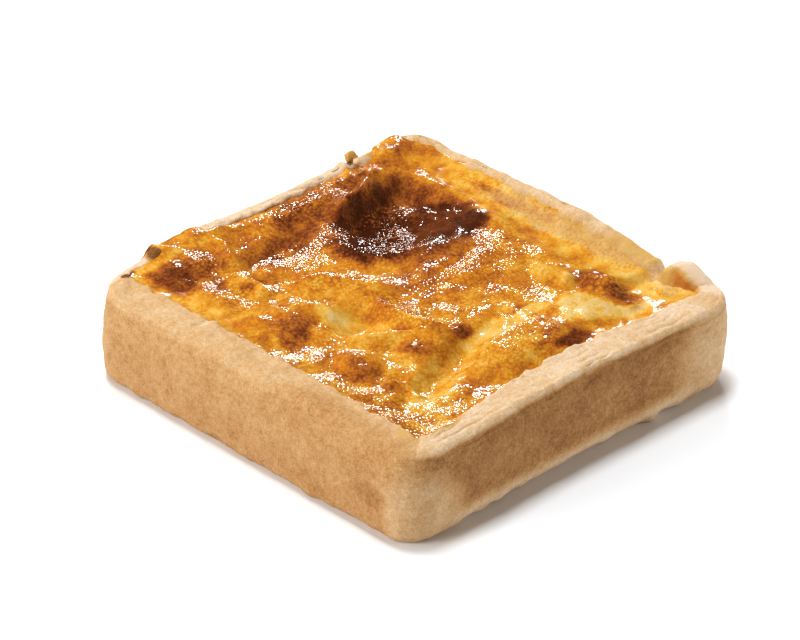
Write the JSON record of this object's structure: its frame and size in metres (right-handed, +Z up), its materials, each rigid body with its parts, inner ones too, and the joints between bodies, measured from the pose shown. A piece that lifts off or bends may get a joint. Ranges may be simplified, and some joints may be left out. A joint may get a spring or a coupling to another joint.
{
  "type": "square quiche lorraine",
  "caption": "Square individual quiche: a thick-walled shortcrust case with rounded corners, filled with browned, blistered custard that has sunk into a burnt hollow.",
  "frame": {"origin": "on the table under the middle of the bounding box", "axes": "+Z up from the base to the rim; the walls run along X and Y, with the torn rim on the +X wall near the -Y corner"},
  "size_m": [0.0996, 0.101, 0.0235],
  "materials": {
    "pastry": "dry baked shortcrust, pale gold with brown mottling",
    "custard": "glossy oily custard skin, yellow to dark brown"
  },
  "bodies": {
    "root": {"pastry_case": "pastry", "custard_filling": "custard"}
  },
  "joints": []
}
